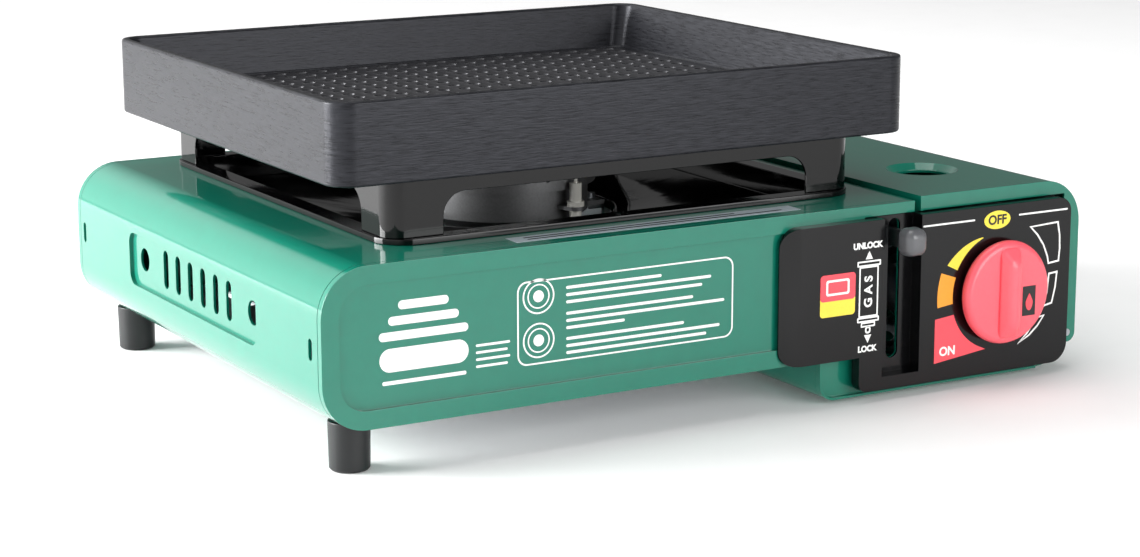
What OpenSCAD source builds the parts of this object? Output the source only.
// Portable cassette-gas camping stove with a griddle. Millimetres, +Z up, front faces -Y.
// The origin is on the ground, under the middle of the bounding box.

/* [Body] */
// Width of the body, lid side included
body_w = 340; // [320:1:420]
// Depth of the body between the outer faces of its end panels
body_d = 246; // [244:1:320]
// Height of the body's flat top above the ground
body_top = 78; // [76:1:96]
// Height of the two legs, which is where the body's floor starts
leg_h = 18.5; // [16:0.5:24]
// Radius of the body's long rounded edges
edge_r = 18; // [10:0.5:20]
// Thickness of the steel sheet
sheet = 1; // [0.8:0.1:1.2]
// Width of the flat border around the end panels
border_w = 7; // [5:0.5:9]
// Diameter of the legs at the top
leg_d = 15.6; // [12:0.2:18]

/* [Cartridge compartment] */
// Width of the hinged lid
lid_w = 81; // [76:1:90]
// Height of the lid above the body's top
lid_rise = 1.5; // [0.5:0.1:2]
// Gap between the lid and the body's top
lid_gap = 3; // [2:0.1:5]
// Diameter of the finger hole in the lid
finger_d = 22; // [18:0.5:26]
// Width of the deep tub that holds the cartridge
tub_w = 128; // [122:1:134]
// Height of the tub's underside above the ground
tub_z = 2; // [1.5:0.1:4]
// Diameter of the gas cartridge
cart_d = 68; // [60:0.5:70]
// Length of the gas cartridge
cart_l = 186; // [170:1:188]

/* [Cooking area] */
// Width of the griddle
griddle_w = 251; // [236:1:260]
// Depth of the griddle, front to back
griddle_d = 216.5; // [212:0.5:240]
// Height of the griddle's side wall
griddle_h = 30.7; // [24:0.1:40]
// Thickness of the griddle's side wall
griddle_wall = 4; // [3:0.1:5]
// Side of the square pan support
support_w = 205; // [198:1:207]
// Height of the pan support
support_h = 28; // [24:0.5:40]
// Width of each leg of the pan support
support_leg = 22.5; // [16:0.5:30]
// Diameter of the burner's head
burner_d = 76; // [64:1:80]

/* [Controls] */
// Diameter of the control knob
knob_d = 42; // [36:0.5:44]
// Distance that the control knob stands out from the body's front
knob_reach = 16; // [15:0.5:22]
// Distance that the control panel stands out from the body's front
panel_out = 5; // [4:0.1:6]
// Width of the control panel
panel_w = 140; // [136:1:141]
// Diameter of the valve spindle
spindle_d = 8; // [6:0.5:9]
// Width of the lock lever's knob
lever_knob_w = 10.5; // [9:0.1:16]
// Lean of the lock lever's upper arm from the vertical, at each end of its swing
lever_lean = 17; // [12:0.5:20]

/* [Hidden] */
$fn = 64;

green = "#4f9c86";
enamel = "#16181a";
black = "#202224";
cast = "#4a4c4e";
steel = "#b4b6b8";
brass = "#c2a050";

fit = 0.05;                            // radial clearance of a shaft or pin in its hole
slack = 0.3;                           // clearance between sheet pieces that move past each other
hw = body_w / 2;
front = (knob_reach - body_d) / 2;     // outer face of the front panel
back = front + body_d;                 // outer face of the rear panel
floor_z = leg_h + sheet;               // top of the body's bottom flange
shell_right = hw - lid_w - lid_gap;
lid_top = body_top + lid_rise;
tub_left = hw - tub_w;

// End panels
bottom_r = edge_r - 0.5;
field_in = 1.6;                        // how far the panel's field is set in from its border
plate_in = 2;                          // how far the tub's end plate is set in
rim_d = plate_in + sheet;              // depth of the panels' turned edge
hinge_r = 4;
hinge_x = hw - hinge_r;
hinge_z = tub_z + 13;
hinge_pin_d = 3;
plate_top = body_top - 4.8;
tub_r = 14;
tub_left_r = 7;
seam = rim_d + 0.3;                    // where the shell starts, behind the panel's edge

// Cooking area
cook_x = -hw + 15.5 + griddle_w / 2;
cook_y = front + body_d / 2 + 4;
tray_rim_h = 2.3;
tray_w = support_w + 3;
tray_d = support_w + 5;
tray_lip = 7;                          // width of the tray's flat rim
tray_r = 10;
tray_drop = body_top - 8;              // top of the tray's flat floor
tray_cone_r = 92;
tray_hole_r = burner_d / 2 + 8;
tray_hole_z = tray_drop - 8;
opening_gap = 1;
support_z = body_top + tray_rim_h;
support_top = support_z + support_h;
support_wall = 1.2;
griddle_floor = 5;
griddle_z = support_top - 6.5;
griddle_r = 10;

// Cartridge, knob and valve share one axis along Y
tub_right = hw - 7;
axis_x = tub_right - sheet - 2.4 - cart_d / 2;
axis_z = tub_z + sheet + 1.4 + cart_d / 2;
valve_y = front + 14;
valve_d = 26;
valve_x0 = axis_x - 21.6;
valve_x1 = axis_x + 17.4;
valve_z0 = axis_z - 14.4;
valve_z1 = axis_z + 14.6;
cart_y = valve_y + valve_d + 6;        // front end of a cartridge that lies in the tub
tub_floor = tub_z + sheet;

// Control panel
panel_x1 = hw - 8.5;
panel_x0 = panel_x1 - panel_w;
panel_z0 = tub_z + 2.8;
panel_step_x = tub_left + 15;
panel_step_z = leg_h + 0.5;
panel_wall = 2;
panel_bevel = 7.4;                     // width of the slope along its left edge
panel_face = front - panel_out;

// Knob, spindle and igniter
knob_gap = 0.8;
knob_turn = 130;
knob_base_t = 5;
plunger_d = 6;
plunger_r = 21.1;                      // distance of the plunger from the spindle's axis
plunger_z = axis_z + plunger_r;
plunger_travel = 4;
plunger_y = front + 9.5;
igniter_w = 12;
igniter_y = front + 16;
cam_y = front + 6;
cam_inner = 17;
cam_outer = 24;
cam_steps = 6;

// Lock lever, which tips about an axis along X
lever_x = hw - 93;
lever_t = 2;
lever_hub_r = 8;
pivot_y = front + 55;
pivot_z = tub_z + 39;
pivot_d = 5;
stud_rise = 15;
stud_d = 4;
stud_z = pivot_z + stud_rise;
stud_y = pivot_y + stud_rise * tan(lever_lean);
lever_knob_h = 11.6;
lever_knob_z = pivot_z + 23.3;
lever_knob_y = panel_face - 1.5;
lever_knob_l = 9;
tongue_h = 7;
tongue_y = lever_knob_y - 6;
slot_w = 5.6;
slot_z0 = tub_z + 13.5;
slot_z1 = pivot_z + 28;
channel_w = 18;
channel_in = 6;
channel_z0 = tub_z + 8;
rail_x = lever_x + lever_t / 2 + 1;
rail_t = 1.2;
rail_h = 8;
pusher_t = 1.5;
pusher_y = cart_y + cart_l + 4;

// Heat partition
part_x = hw - 106;
part_z = 66;
part_x2 = shell_right - 3;

// Gas path: a straight tube from the jet to the burner's neck
tube_d = 14;
tube_bore = 12;
tube_from = [axis_x - 21.6, front + 24, tub_z + 12];
tube_to = [cook_x, cook_y, body_top - 33];
tube_way = tube_to - tube_from;
tube_len = norm(tube_way);
jet_back = 8;
neck_d = 24;
neck_z = body_top - 42;
bowl_z = body_top - 26;
bowl_top = body_top;
bowl_r = burner_d / 2 - 3;
lug_z = bowl_z + 12;
lug_r = burner_d / 2 + 6;
post_w = 16;
electrode_r = burner_d / 2 + 3;
electrode_turn = -73;
electrode_d = 5;
electrode_x = cook_x + electrode_r * cos(electrode_turn);
electrode_y = cook_y + electrode_r * sin(electrode_turn);
electrode_z = bowl_z;
holder_z = bowl_z + 18;
lead_d = 2.5;
lead_z = part_z - 2.5;
lead_low = 40;

// Legs
leg_x = -hw + 18;
leg_in = 17.3;
stud_m = 6;

// ---------------------------------------------------------------- helpers

// Block between two opposite corners
module block(lo, hi) translate(lo) cube(hi - lo);

// Extrudes an X-Z outline from y0 to y1
module along_y(y0, y1) translate([0, y1, 0]) rotate([90, 0, 0]) linear_extrude(y1 - y0) children();

// Extrudes a Y-Z outline from x0 to x1
module along_x(x0, x1) translate([x0, 0, 0]) rotate([90, 0, 90]) linear_extrude(x1 - x0) children();

// Extrudes an X-Y outline from z0 to z1
module along_z(z0, z1) translate([0, 0, z0]) linear_extrude(z1 - z0) children();

module rod_y(x, z, d, y0, y1) along_y(y0, y1) translate([x, z]) circle(d = d);

module rod_x(y, z, d, x0, x1) along_x(x0, x1) translate([y, z]) circle(d = d);

module rod_z(x, y, d, z0, z1) along_z(z0, z1) translate([x, y]) circle(d = d);

// The one or two outline points that a corner with radius r needs
function corner(p, r, a, b) = r > 0 ? [p + r * a, p + r * b] : [p];

// Rectangle with its own radius at each corner: lower left, lower right, upper right, upper left
module rounded(lo, hi, r) {
  polygon(concat(
    corner(lo, r[0], [0, 1], [1, 0]),
    corner([hi.x, lo.y], r[1], [-1, 0], [0, 1]),
    corner(hi, r[2], [0, -1], [-1, 0]),
    corner([lo.x, hi.y], r[3], [1, 0], [0, -1])
  ));
  if (r[0] > 0) translate(lo + [r[0], r[0]]) circle(r[0]);
  if (r[1] > 0) translate([hi.x - r[1], lo.y + r[1]]) circle(r[1]);
  if (r[2] > 0) translate(hi - [r[2], r[2]]) circle(r[2]);
  if (r[3] > 0) translate([lo.x + r[3], hi.y - r[3]]) circle(r[3]);
}

// Rounded rectangle of size s about a centre, with one radius
module pad(c, s, r) rounded(c - s / 2, c + s / 2, [r, r, r, r]);

// Slot with round ends between two points on a vertical or horizontal line
module slot(a, b, w) {
  translate(a) circle(d = w);
  translate(b) circle(d = w);
  if (a.x == b.x) translate([a.x - w / 2, a.y]) square([w, b.y - a.y]);
  else translate([a.x, a.y - w / 2]) square([b.x - a.x, w]);
}

// ---------------------------------------------------------------- sheet-steel body

// Section of the body inside its outer surface, set in by i
module section(i) rounded(
  [-hw + i, leg_h + i], [shell_right - i, body_top - i], [bottom_r - i, 0, 0, edge_r - i]
);

// Outline of the tub's end plate, set in by i
module tub_end(i) rounded(
  [tub_left + i, tub_z + i], [hinge_x - i, plate_top - i], [tub_left_r - i, tub_r - i, edge_r - 2 - i, 0]
);

vent_y0 = front + 57;
vent_y1 = front + 185.5;
vent_z0 = leg_h + 20;
vent_z1 = vent_z0 + 21.5;
vent_pitch = 12.7;
vent_mid = front + 117.7;
vent_count = 6;
vent_in = 1.6;

// Row of vent slots with a round hole at each end, as a Y-Z outline
module vents() {
  for (i = [0 : vent_count - 1]) {
    y = vent_mid + (i - (vent_count - 1) / 2) * vent_pitch;
    slot([y, vent_z0 + 6.6], [y, vent_z1 - 4.5], 5);
  }
  for (side = [-1, 1]) translate([vent_mid + side * 54.5, vent_z0 + 11.7]) circle(d = 9.4);
}

module body_shell() color(green) difference() {
  union() {
    along_y(front + seam, back - seam) difference() {
      section(0);
      section(sheet);
      translate([-hw + 40, 0]) square([body_w, body_top - 8]);
    }
    along_x(-hw + sheet / 2, -hw + vent_in + sheet)
      rounded([vent_y0 - sheet, vent_z0 - sheet], [vent_y1 + sheet, vent_z1 + sheet], [6, 6, 6, 6]);
  }
  along_x(-hw - sheet, -hw + vent_in)
    rounded([vent_y0, vent_z0], [vent_y1, vent_z1], [5, 5, 5, 5]);
  along_x(-hw - sheet, -hw + vent_in + 2 * sheet) vents();
  along_x(-hw - sheet, -hw + 2 * sheet) {
    slot([front + 9.5, leg_h + 27], [front + 9.5, leg_h + 32], 3);
    slot([back - 8, leg_h + 29], [back - 8, leg_h + 34.5], 3);
  }
  along_z(body_top - 2 * sheet, body_top + sheet) pad(
    [cook_x, cook_y],
    [tray_w - 2 * tray_lip + 2 * opening_gap, tray_d - 2 * tray_lip + 2 * opening_gap],
    tray_r + opening_gap
  );
  for (y = [front + leg_in, back - leg_in]) rod_z(leg_x, y, stud_m + 0.2, leg_h - 2, floor_z + 6);
}

// End panel with its outer face at y = 0 and the stove behind it, at y > 0
module end_panel() {
  difference() {
    union() {
      along_y(0, rim_d) difference() { section(0); section(sheet); }
      along_y(0, sheet) difference() { section(0); section(border_w); }
      along_y(0, field_in + sheet) difference() { section(border_w - sheet); section(border_w); }
      along_y(field_in, field_in + sheet) section(border_w - sheet / 2);
    }
    block([panel_step_x + 5, -sheet, 0], [hw, plate_in, plate_top + 0.4]);
    block([tub_left, -sheet, 0], [hw, plate_in, panel_step_z + 3]);
    block([tub_left + sheet, -sheet, 0], [hw, rim_d + sheet, leg_h + 3 * sheet]);
  }
  along_y(plate_in, rim_d) {
    tub_end(0);
    translate([tub_left, floor_z + 8]) square([shell_right - sheet - tub_left, body_top - sheet / 2 - floor_z - 8]);
    translate([hinge_x, hinge_z]) circle(hinge_r);
  }
  along_y(0, rim_d) difference() {
    tub_end(0);
    tub_end(sheet);
    translate([hinge_x - tub_r - 2, 0]) square([2 * tub_r, body_top]);
    translate([0, floor_z]) square([hw, body_top]);
  }
  // Tabs that lie inside the shell
  block([-hw + 30, sheet / 2, body_top - 2 * sheet], [shell_right - 26, 3 * rim_d, body_top - sheet]);
  block([-hw + sheet, sheet / 2, leg_h + 20], [-hw + 2 * sheet, 3 * rim_d, leg_h + 40]);
}

// Holes that the hinge pins pass through, in both end panels
module hinge_bore() rod_y(hinge_x, hinge_z, hinge_pin_d + 2 * fit, -1, rim_d + 1);

module front_panel() color(green) translate([0, front, 0]) difference() {
  end_panel();
  hinge_bore();
  rod_y(axis_x, axis_z, spindle_d + 2, -1, rim_d + 1);
  along_y(-1, rim_d + 1) slot([lever_x, slot_z0 + slot_w / 2], [lever_x, slot_z1], slot_w);
}

module rear_panel() color(green) translate([0, back, 0]) mirror([0, 1, 0]) difference() {
  end_panel();
  hinge_bore();
  for (row = [0 : 1], i = [0 : 7]) along_y(-1, rim_d + 1)
    slot([-hw + 50 + i * 16, leg_h + 16 + row * 18], [-hw + 50 + i * 16, leg_h + 25 + row * 18], 4);
}

module bottom_plate() color(steel) difference() {
  block([-hw + 20, front + rim_d, floor_z], [tub_left + 1.5 * sheet, back - rim_d, floor_z + sheet]);
  for (y = [front + leg_in, back - leg_in]) rod_z(leg_x, y, stud_m + 1, leg_h, floor_z + 2 * sheet);
  for (i = [0 : 8]) along_z(leg_h, floor_z + 2 * sheet)
    slot([cook_x - 84 + i * 14, cook_y + 70], [cook_x - 84 + i * 14, cook_y + 95], 5);
  tube_space(1);
}

module cartridge_tub() color(green) difference() {
  along_y(front + rim_d, back - rim_d) difference() {
    rounded([tub_left, tub_z], [tub_right, body_top], [tub_left_r, tub_r, 0, 0]);
    rounded([tub_left + sheet, tub_floor], [tub_right - sheet, body_top + 1],
      [tub_left_r - sheet, tub_r - sheet, 0, 0]);
    translate([tub_left - 1, floor_z]) square([tub_w / 2, body_top]);
    translate([tub_left - 1, leg_h + 5]) square([tub_w, body_top]);
  }
  tube_space(1);
}

module heat_partition() color(steel) difference() {
  along_y(front + rim_d, back - rim_d) {
    translate([part_x, tub_floor]) square([sheet, part_z + sheet - tub_floor]);
    translate([part_x, part_z]) square([part_x2 + sheet - part_x, sheet]);
    translate([part_x2, part_z]) square([sheet, body_top - sheet - part_z]);
  }
  rod_x(front + 36, lead_z, 4, part_x - 1, part_x + 2 * sheet);
  block(
    [lever_x - slot_w / 2, front, part_z - 1], [lever_x + slot_w / 2, front + 12, part_z + 2 * sheet]
  );
  tube_space(6);
}

// ---------------------------------------------------------------- lid

// Section of the lid inside its outer surface, set in by i
module lid_section(i) rounded(
  [shell_right + lid_gap + i, hinge_z], [hw - i, lid_top - i], [0, 0, edge_r - i, 0]
);

module compartment_lid() color(green) difference() {
  union() {
    along_y(front, back) difference() {
      lid_section(0);
      lid_section(sheet);
      translate([0, hinge_z - 1]) square([hinge_x, lid_top - hinge_z - 5]);
    }
    for (y = [front, back - sheet]) along_y(y, y + sheet) {
      difference() {
        lid_section(0);
        translate([0, hinge_z - 1]) square([panel_x1 + slack, plate_top + 0.5 - hinge_z + 1]);
      }
      translate([hinge_x, hinge_z]) circle(hinge_r);
    }
    translate([axis_x + 0.9, front + 48.7, 0]) rotate_extrude() polygon([
      [finger_d / 2 + 5, lid_top], [finger_d / 2 + 4, lid_top], [finger_d / 2 + 1.5, lid_top - 2.5],
      [finger_d / 2, lid_top - 2.5], [finger_d / 2, lid_top - 3.5], [finger_d / 2 + 2, lid_top - 3.5],
      [finger_d / 2 + 4.5, lid_top - 1], [finger_d / 2 + 5, lid_top - 1]
    ]);
  }
  translate([axis_x + 0.9, front + 48.7, lid_top - 5]) {
    cylinder(d = finger_d, h = 10);
    translate([0, 0, 5]) rotate_extrude() polygon([
      [0, 1], [finger_d / 2 + 5, 1], [finger_d / 2 + 5, 0], [finger_d / 2 + 4, 0],
      [finger_d / 2 + 1.5, -2.5], [0, -2.5]
    ]);
  }
  // The side wall stops short of the panels' hinge lugs
  for (y = [front + sheet, back - sheet - 4]) block([hinge_x, y, 0], [hw + 1, y + 4, hinge_z + 6]);
  for (y = [front, back - sheet]) {
    rod_y(hinge_x, hinge_z, hinge_pin_d + 2 * fit, y - 1, y + sheet + 1);
    block([hinge_x - hinge_r - 6, y - 1, 0], [hinge_x - hinge_r, y + sheet + 1, hinge_z + 6]);
  }
}

module lid_hinge_pins() color(steel) for (side = [0, 1])
  translate([0, side * (front + back), 0]) mirror([0, side, 0]) {
    rod_y(hinge_x, hinge_z, hinge_pin_d, front, front + rim_d + 1);
    rod_y(hinge_x, hinge_z, 2 * hinge_pin_d, front + rim_d, front + rim_d + 1.5);
  }

// ---------------------------------------------------------------- control panel

// Outline of the control panel, set in by i
module panel_outline(i) {
  rounded([panel_x0 + i, panel_step_z + i], [panel_x1 - i, plate_top - i], [6 - i, 0, 6 - i, 8 - i]);
  rounded([panel_step_x + i, panel_z0 + i], [panel_x1 - i, plate_top - 20], [4 - i, 8 - i, 0, 0]);
}

module control_panel() color(black) difference() {
  union() {
    difference() {
      union() {
        along_y(panel_face, front) panel_outline(0);
        along_y(front - 1, front + plate_in) intersection() {
          panel_outline(0);
          translate([panel_step_x + 5 + slack, 0]) square([panel_w, body_top]);
        }
      }
      along_y(panel_face + panel_wall, front + plate_in + 1) intersection() {
        panel_outline(panel_wall);
        translate([panel_x0 + panel_bevel + panel_wall, 0]) square([panel_w, body_top]);
      }
    }
    block(
      [lever_x - channel_w / 2 - 1.5, panel_face, channel_z0 - 1.5],
      [lever_x + channel_w / 2 + 1.5, front + plate_in, plate_top]
    );
    rod_y(axis_x, axis_z, spindle_d + 8, panel_face, front + plate_in);
  }
  block(
    [lever_x - channel_w / 2, panel_face - 1, channel_z0],
    [lever_x + channel_w / 2, panel_face + channel_in, plate_top + 1]
  );
  along_y(panel_face - 1, front + plate_in + 1)
    slot([lever_x, slot_z0 + slot_w / 2], [lever_x, slot_z1], slot_w);
  rod_y(axis_x, axis_z, spindle_d + 2, panel_face - 1, front + plate_in + 1);
  // Slope of the left edge
  linear_extrude(body_top) polygon([
    [panel_x0 - 1, front - 0.8], [panel_x0, front - 0.8], [panel_x0 + panel_bevel, panel_face],
    [panel_x0 + panel_bevel, panel_face - 1], [panel_x0 - 1, panel_face - 1]
  ]);
}

// ---------------------------------------------------------------- cooking area

module drip_tray() color(enamel) difference() {
  union() {
    along_z(body_top, support_z) pad([cook_x, cook_y], [tray_w, tray_d], tray_r + 3);
    along_z(tray_drop - sheet, support_z)
      pad([cook_x, cook_y], [tray_w - 2 * tray_lip, tray_d - 2 * tray_lip], tray_r);
    translate([cook_x, cook_y, 0]) rotate_extrude() polygon([
      [tray_cone_r, tray_drop], [tray_hole_r + 1, tray_hole_z + 1], [tray_hole_r + 1, tray_hole_z + 4],
      [tray_hole_r, tray_hole_z + 4], [tray_hole_r, tray_hole_z], [tray_cone_r, tray_drop - sheet]
    ]);
  }
  along_z(body_top - 1, support_z - sheet) difference() {
    pad([cook_x, cook_y], [tray_w - 2 * sheet, tray_d - 2 * sheet], tray_r + 3 - sheet);
    pad([cook_x, cook_y], [tray_w - 2 * tray_lip, tray_d - 2 * tray_lip], tray_r);
  }
  along_z(tray_drop, support_z + 1)
    pad([cook_x, cook_y], [tray_w - 2 * tray_lip - 2 * sheet, tray_d - 2 * tray_lip - 2 * sheet],
      tray_r - sheet);
  translate([cook_x, cook_y, 0]) rotate_extrude() polygon([
    [0, tray_drop + 1], [tray_cone_r, tray_drop + 1], [tray_cone_r, tray_drop],
    [tray_hole_r + 1, tray_hole_z + 1], [tray_hole_r + 1, tray_hole_z + 4],
    [tray_hole_r, tray_hole_z + 4], [tray_hole_r, tray_hole_z - 1], [0, tray_hole_z - 1]
  ]);
}

// Window in one side of the pan support, as an outline across that side
module support_window() rounded(
  [-support_w / 2 + support_leg, support_z - 1], [support_w / 2 - support_leg, support_top - 12.6],
  [0, 0, 9, 9]
);

finger_l = 44;

module pan_support() color(enamel) {
  difference() {
    along_z(support_z, support_top) pad([cook_x, cook_y], [support_w, support_w], 8);
    along_z(support_z - 1, support_top - support_wall) pad(
      [cook_x, cook_y], [support_w - 2 * support_wall, support_w - 2 * support_wall], 8 - support_wall
    );
    along_z(support_z - 1, support_top + 1) pad([cook_x, cook_y], [support_w - 14, support_w - 14], 6);
    translate([cook_x, 0, 0]) along_y(cook_y - support_w, cook_y + support_w) support_window();
    translate([0, cook_y, 0]) along_x(cook_x - support_w, cook_x + support_w) support_window();
  }
  for (turn = [0 : 90 : 270]) translate([cook_x, cook_y, 0]) rotate([0, 0, turn])
    block(
      [support_w / 2 - support_wall - finger_l, -1, support_top - 9],
      [support_w / 2 - support_wall / 2, 1, support_top]
    );
}

module griddle() color(cast) difference() {
  along_z(griddle_z, griddle_z + griddle_h) pad([cook_x, cook_y], [griddle_w, griddle_d], griddle_r);
  for (z = [[griddle_z - 1, support_top], [support_top + griddle_floor, griddle_z + griddle_h + 1]])
    along_z(z[0], z[1]) pad(
      [cook_x, cook_y], [griddle_w - 2 * griddle_wall, griddle_d - 2 * griddle_wall],
      griddle_r - griddle_wall
    );
}

// ---------------------------------------------------------------- burner and gas path

port_count = 24;

module burner_base() color(cast) translate([cook_x, cook_y, 0]) difference() {
  union() {
    rotate_extrude() polygon([
      [0, bowl_z], [neck_d / 2 + 1, bowl_z], [bowl_r, bowl_z + 14], [bowl_r, bowl_top],
      [burner_d / 2, bowl_top], [burner_d / 2, bowl_top + 10], [0, bowl_top + 10]
    ]);
    block([-lug_r, -post_w / 2, lug_z], [lug_r, post_w / 2, lug_z + 2]);
    rotate([0, 0, electrode_turn]) along_z(holder_z, holder_z + 1.5) {
      translate([bowl_r - 2, -4]) square([electrode_r - bowl_r + 2, 8]);
      translate([electrode_r, 0]) circle(4);
    }
  }
  rotate_extrude() polygon([
    [0, bowl_z - 1], [tube_bore / 2, bowl_z - 1], [tube_bore / 2, bowl_z + 2], [bowl_r - 2, bowl_z + 15.3],
    [bowl_r - 2, bowl_top + 11], [0, bowl_top + 11]
  ]);
  for (i = [0 : port_count - 1]) rotate([0, 90, i * 360 / port_count])
    translate([-bowl_top - 5, 0, bowl_r - 8]) cylinder(d = 2.4, h = 20);
  rotate([0, 0, electrode_turn])
    rod_z(electrode_r, 0, electrode_d + 2 * fit, holder_z - 1, holder_z + 3);
  for (side = [-1, 1]) rod_z(side * (lug_r - 3), 0, 3 + 2 * fit, lug_z - 1, lug_z + 3);
}

module burner_cap() color(cast) translate([cook_x, cook_y, 0]) {
  rotate_extrude() polygon([
    [0, bowl_top + 10], [burner_d / 2 - 2, bowl_top + 10], [burner_d / 2 - 6, bowl_top + 14],
    [0, bowl_top + 15]
  ]);
}

module burner_screws() color(steel) for (side = [-1, 1]) {
  rod_z(cook_x + side * (lug_r - 3), cook_y, 3, lug_z, lug_z + 2);
  rod_z(cook_x + side * (lug_r - 3), cook_y, 5.5, lug_z + 2, lug_z + 4);
}

module burner_bracket() color(steel) for (side = [-1, 1]) {
  translate([cook_x, cook_y, 0]) mirror([side < 0 ? 1 : 0, 0, 0]) {
    block([lug_r - 8, -post_w / 2, lug_z - 1.5], [lug_r, post_w / 2, lug_z]);
    block([lug_r - 1.5, -post_w / 2, floor_z + sheet], [lug_r, post_w / 2, lug_z]);
    block([lug_r - 1.5, -post_w / 2, floor_z + sheet], [lug_r + 10, post_w / 2, floor_z + sheet + 1.5]);
  }
}

// Turns +Z onto the mixing tube's axis, with z = 0 at the jet end
module at_tube() translate(tube_from)
  rotate([0, acos(tube_way.z / tube_len), atan2(tube_way.y, tube_way.x)]) children();

// Room that other pieces leave round the mixing tube, over its diameter
module tube_space(room) at_tube() cylinder(d = tube_d + room, h = tube_len);

module mixing_tube() color(steel) difference() {
  union() {
    at_tube() {
      cylinder(d = tube_d, h = tube_len);
      cylinder(d = tube_d + 3, h = 3);
    }
    rod_z(cook_x, cook_y, neck_d, neck_z, bowl_z);
  }
  at_tube() translate([0, 0, -1]) cylinder(d = tube_bore, h = tube_len + 1);
  rod_z(cook_x, cook_y, tube_bore, neck_z + 4, bowl_z + 1);
  // Air inlet
  at_tube() translate([0, 0, 10]) rotate([90, 0, 0]) cylinder(d = 7, h = tube_d, center = true);
}

elbow = tube_from - tube_way / tube_len * jet_back;

module jet_nozzle() color(brass) difference() {
  union() {
    at_tube() translate([0, 0, -jet_back]) {
      cylinder(d = 8, h = jet_back - 2);
      cylinder(d = 4, h = jet_back + 2);
    }
    translate(elbow) sphere(d = 8.4);
    rod_z(elbow.x, elbow.y, 8, elbow.z, valve_z0);
  }
  at_tube() translate([0, 0, -jet_back]) cylinder(d = 1.5, h = jet_back + 3);
}

module gas_valve() color(steel) difference() {
  union() {
    block([valve_x0, valve_y, valve_z0], [valve_x1, valve_y + valve_d, valve_z1]);
    rod_y(axis_x, axis_z, 24, valve_y + valve_d - 1, valve_y + valve_d + 2);
  }
  rod_y(axis_x, axis_z, spindle_d + 2 * fit, valve_y - 1, valve_y + 8);
  rod_y(axis_x, axis_z, 11, valve_y + valve_d - 8, valve_y + valve_d + 3);
}

module governor_cap() color(steel) {
  rod_x(valve_y + valve_d / 2, axis_z, 24, valve_x0 - 4, valve_x0);
  rod_x(valve_y + valve_d / 2, axis_z, 16, valve_x0 - 8, valve_x0 - 4);
}

collar_y = valve_y + valve_d + 2;

module cartridge_collar() color(steel) difference() {
  union() {
    rod_y(axis_x, axis_z, 48, collar_y, collar_y + 1.5);
    rod_y(axis_x, axis_z, 42, collar_y, collar_y + 3.5);
  }
  rod_y(axis_x, axis_z, 16, collar_y - 1, collar_y + 4);
  rod_y(axis_x, axis_z, 35, collar_y + 1.5, collar_y + 4);
  block([axis_x - 4, collar_y + 1.5, axis_z], [axis_x + 4, collar_y + 4, axis_z + 30]);
}

module valve_bracket() color(steel) {
  block([axis_x - 6, valve_y + 16, tub_floor], [axis_x + 14, valve_y + 17.5, valve_z0]);
  block([axis_x - 6, valve_y + 16, tub_floor], [axis_x + 14, valve_y + 26, tub_floor + 1.5]);
  block([axis_x - 6, valve_y + 16, valve_z0 - 1.5], [axis_x + 14, valve_y + 26, valve_z0]);
}

// ---------------------------------------------------------------- knob, spindle and igniter

knob_back = panel_face - knob_gap;
spindle_tip = front - knob_reach + 4;

module valve_spindle() color(brass) {
  rod_y(axis_x, axis_z, spindle_d, spindle_tip, valve_y + 7.5);
  rod_y(axis_x, axis_z, spindle_d + 4, valve_y - 2, valve_y - 0.5);
}

// Sector of the cam that is under the plunger when the knob has turned from angle a to angle b
module cam_sector(a, b) difference() {
  intersection() {
    circle(cam_outer);
    polygon([
      [0, 0], for (t = [a, (a + b) / 2, b]) 2 * cam_outer * [cos(90 - t), sin(90 - t)]
    ]);
  }
  circle(cam_inner);
}

module cam_disc() color(black) difference() {
  union() {
    rod_y(axis_x, axis_z, 2 * cam_outer, cam_y, cam_y + 1.5);
    rod_y(axis_x, axis_z, spindle_d + 6, cam_y - 1, valve_y - 2);
    for (i = [0 : cam_steps - 1]) {
      step = knob_turn / cam_steps;
      tip_half = asin(plunger_d / 2 / plunger_r);
      rise = i == 0 ? 0 : plunger_travel * (i * step - tip_half) / knob_turn;
      along_y(cam_y + 1, plunger_y - slack + rise) translate([axis_x, axis_z])
        cam_sector(i * step - (i == 0 ? 12 : 0), (i + 1) * step + (i == cam_steps - 1 ? 12 : 0));
    }
  }
  rod_y(axis_x, axis_z, spindle_d + 2 * fit, cam_y - 2, valve_y);
}

module control_knob() color(black) difference() {
  union() {
    translate([axis_x, knob_back, axis_z]) rotate([90, 0, 0]) {
      cylinder(d = knob_d, h = knob_base_t - 1.5);
      translate([0, 0, knob_base_t - 1.5]) cylinder(d1 = knob_d, d2 = knob_d - 3, h = 1.5);
    }
    intersection() {
      rod_y(axis_x, axis_z, knob_d - 2, front - knob_reach, knob_back - 2);
      along_z(axis_z - knob_d, axis_z + knob_d) polygon([
        [axis_x - 6.5, knob_back - 2], [axis_x - 6.5, knob_back - knob_base_t],
        [axis_x - 4.5, front - knob_reach], [axis_x + 4.5, front - knob_reach],
        [axis_x + 6.5, knob_back - knob_base_t], [axis_x + 6.5, knob_back - 2]
      ]);
    }
  }
  rod_y(axis_x, axis_z, spindle_d + 2 * fit, spindle_tip, knob_back + 1);
}

module igniter_body() color(black) difference() {
  block(
    [axis_x - igniter_w / 2, igniter_y, valve_z1],
    [axis_x + igniter_w / 2, igniter_y + 26, plunger_z + igniter_w / 2]
  );
  rod_y(axis_x, plunger_z, plunger_d + 2 * fit, igniter_y - 1, igniter_y + 19);
}

module igniter_plunger() color(steel) rod_y(axis_x, plunger_z, plunger_d, plunger_y, igniter_y + 13);

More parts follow.
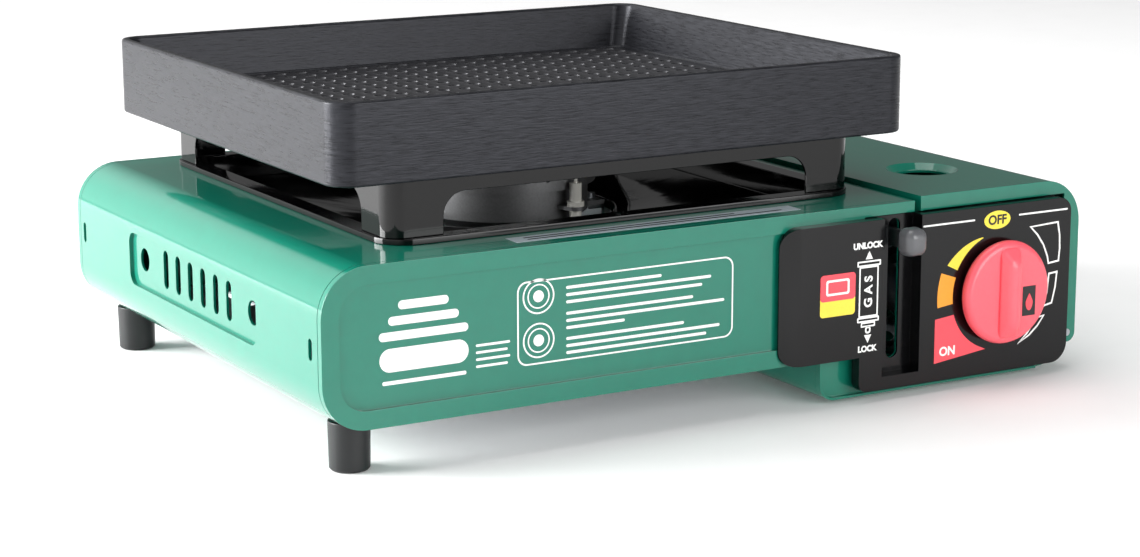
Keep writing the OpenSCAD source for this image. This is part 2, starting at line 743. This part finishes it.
module spark_electrode() color("white") {
  rod_z(electrode_x, electrode_y, electrode_d, electrode_z, bowl_top + 3);
  rod_z(electrode_x, electrode_y, electrode_d + 2, holder_z + 1.5, holder_z + 3.5);
  rod_z(electrode_x, electrode_y, 1.6, bowl_top + 3, bowl_top + 8);
}

lead_points = [
  [axis_x - igniter_w / 2, front + 36, lead_z], [part_x - 12, front + 36, lead_z],
  [part_x - 24, front + 40, lead_low], [electrode_x, electrode_y, lead_low],
  [electrode_x, electrode_y, electrode_z]
];

module igniter_lead() color(black) for (i = [0 : len(lead_points) - 2]) {
  way = lead_points[i + 1] - lead_points[i];
  translate(lead_points[i]) rotate([0, acos(way.z / norm(way)), atan2(way.y, way.x)])
    cylinder(d = lead_d, h = norm(way));
  if (i > 0) translate(lead_points[i]) sphere(d = 1.15 * lead_d);
}

// ---------------------------------------------------------------- lock lever

module lock_lever() color(steel) difference() {
  along_x(lever_x - lever_t / 2, lever_x + lever_t / 2) difference() {
    union() {
      translate([pivot_y, pivot_z]) circle(lever_hub_r);
      polygon([
        [pivot_y - 2, pivot_z + 7.6], [front + 2, lever_knob_z + tongue_h / 2],
        [front + 2, lever_knob_z - tongue_h / 2], [pivot_y - 4, pivot_z - 6]
      ]);
      translate([tongue_y, lever_knob_z - tongue_h / 2]) square([front + 2.5 - tongue_y, tongue_h]);
      translate([pivot_y, pivot_z]) rotate(-lever_lean) {
        translate([-4.5, 0]) square([9, stud_rise + 0.5]);
        translate([0, stud_rise + 0.5]) circle(4.5);
      }
    }
    translate([pivot_y, pivot_z]) rotate(-lever_lean)
      slot([0, stud_rise - 0.1], [0, stud_rise / cos(lever_lean) + 0.1], stud_d + 0.4);
  }
  rod_x(pivot_y, pivot_z, pivot_d + 2 * fit, lever_x - lever_t, lever_x + lever_t);
}

module lever_knob() color("#8a8d90") difference() {
  along_y(lever_knob_y - lever_knob_l, lever_knob_y)
    pad([lever_x, lever_knob_z], [lever_knob_w, lever_knob_h], 3);
  block(
    [lever_x - lever_t / 2, tongue_y, lever_knob_z - tongue_h / 2],
    [lever_x + lever_t / 2, lever_knob_y + 1, lever_knob_z + tongue_h / 2]
  );
}

pivot_end = lever_x - 5;               // left face of the lever's bracket

module lever_pivot() color(steel) {
  rod_x(pivot_y, pivot_z, pivot_d, pivot_end - 1, lever_x + lever_t / 2 + 0.5);
  rod_x(pivot_y, pivot_z, pivot_d + 3, pivot_end - 2, pivot_end);
  rod_x(pivot_y, pivot_z, pivot_d + 3, pivot_end + 1.5, lever_x - lever_t / 2 - 0.1);
  rod_x(pivot_y, pivot_z, pivot_d + 2, lever_x + lever_t / 2 + 0.1, rail_x - 0.1);
}

module lever_bracket() color(steel) difference() {
  union() {
    along_x(pivot_end, pivot_end + 1.5) {
      translate([pivot_y, pivot_z]) circle(7);
      polygon([
        [pivot_y + 5, tub_floor], [pivot_y + 19, tub_floor], [pivot_y + 6.5, pivot_z + 2],
        [pivot_y + 2, pivot_z - 6.5]
      ]);
    }
    block([pivot_end - 5, pivot_y + 5, tub_floor], [pivot_end + 1.5, pivot_y + 19, tub_floor + 1.5]);
  }
  rod_x(pivot_y, pivot_z, pivot_d + 2 * fit, pivot_end - 1, pivot_end + 3);
  tube_space(2);
}

rail_z = stud_z - rail_h / 2;

module cartridge_carrier() color(steel) {
  block([rail_x, stud_y - 9.6, rail_z], [rail_x + rail_t, pusher_y + pusher_t, rail_z + rail_h]);
  along_y(pusher_y, pusher_y + pusher_t)
    rounded([rail_x, axis_z - 14], [axis_x + 24.4, rail_z + rail_h], [2, 6, 6, 0]);
  rod_x(stud_y, stud_z, stud_d, lever_x - lever_t / 2 - 0.5, rail_x + rail_t / 2);
}

guide_gap = 0.4;

module rail_guides() color(steel) for (y = [cart_y + 60, cart_y + cart_l - 36]) difference() {
  union() {
    block([rail_x - 3, y, tub_floor], [rail_x - 1.5, y + 12, rail_z + rail_h + 2]);
    block([rail_x - 3, y, rail_z - 2], [rail_x + rail_t + 2, y + 12, rail_z + rail_h + 2]);
    block([rail_x - 9, y, tub_floor], [rail_x - 1.5, y + 12, tub_floor + 1.5]);
  }
  block(
    [rail_x - guide_gap, y - 1, rail_z - guide_gap],
    [rail_x + rail_t + guide_gap, y + 13, rail_z + rail_h + guide_gap]
  );
}

module cartridge_cradle() color(steel) for (y = [cart_y + 40, cart_y + cart_l - 50])
  along_y(y, y + 1.5) difference() {
    rounded([axis_x - 30, tub_floor], [tub_right - sheet - 7, axis_z - 18], [0, 7, 2, 2]);
    translate([axis_x, axis_z]) circle(d = cart_d + 0.8);
  }

// ---------------------------------------------------------------- legs

module leg(y) {
  translate([leg_x, y, 0]) {
    cylinder(d1 = leg_d - 2, d2 = leg_d - 0.6, h = 1);
    translate([0, 0, 1]) cylinder(d1 = leg_d - 0.6, d2 = leg_d, h = leg_h - 1);
    cylinder(d = stud_m, h = floor_z + 7);
  }
}

module leg_front_left() color(black) leg(front + leg_in);

module leg_rear_left() color(black) leg(back - leg_in);

module leg_nuts() color(steel) for (y = [front + leg_in, back - leg_in]) difference() {
  translate([leg_x, y, floor_z + sheet]) cylinder(d = 11, h = 4, $fn = 6);
  rod_z(leg_x, y, stud_m + 2 * fit, floor_z, floor_z + 10);
}

module tub_feet() color(black) for (y = [front + 20, back - 20])
  rod_z(hw - 25, y, 9, 0, tub_z);

body_shell();
front_panel();
rear_panel();
bottom_plate();
cartridge_tub();
heat_partition();
compartment_lid();
lid_hinge_pins();
control_panel();
drip_tray();
pan_support();
griddle();
burner_base();
burner_cap();
burner_screws();
burner_bracket();
mixing_tube();
jet_nozzle();
gas_valve();
governor_cap();
cartridge_collar();
valve_bracket();
valve_spindle();
cam_disc();
control_knob();
igniter_body();
igniter_plunger();
spark_electrode();
igniter_lead();
lock_lever();
lever_knob();
lever_pivot();
lever_bracket();
cartridge_carrier();
rail_guides();
cartridge_cradle();
leg_front_left();
leg_rear_left();
leg_nuts();
tub_feet();
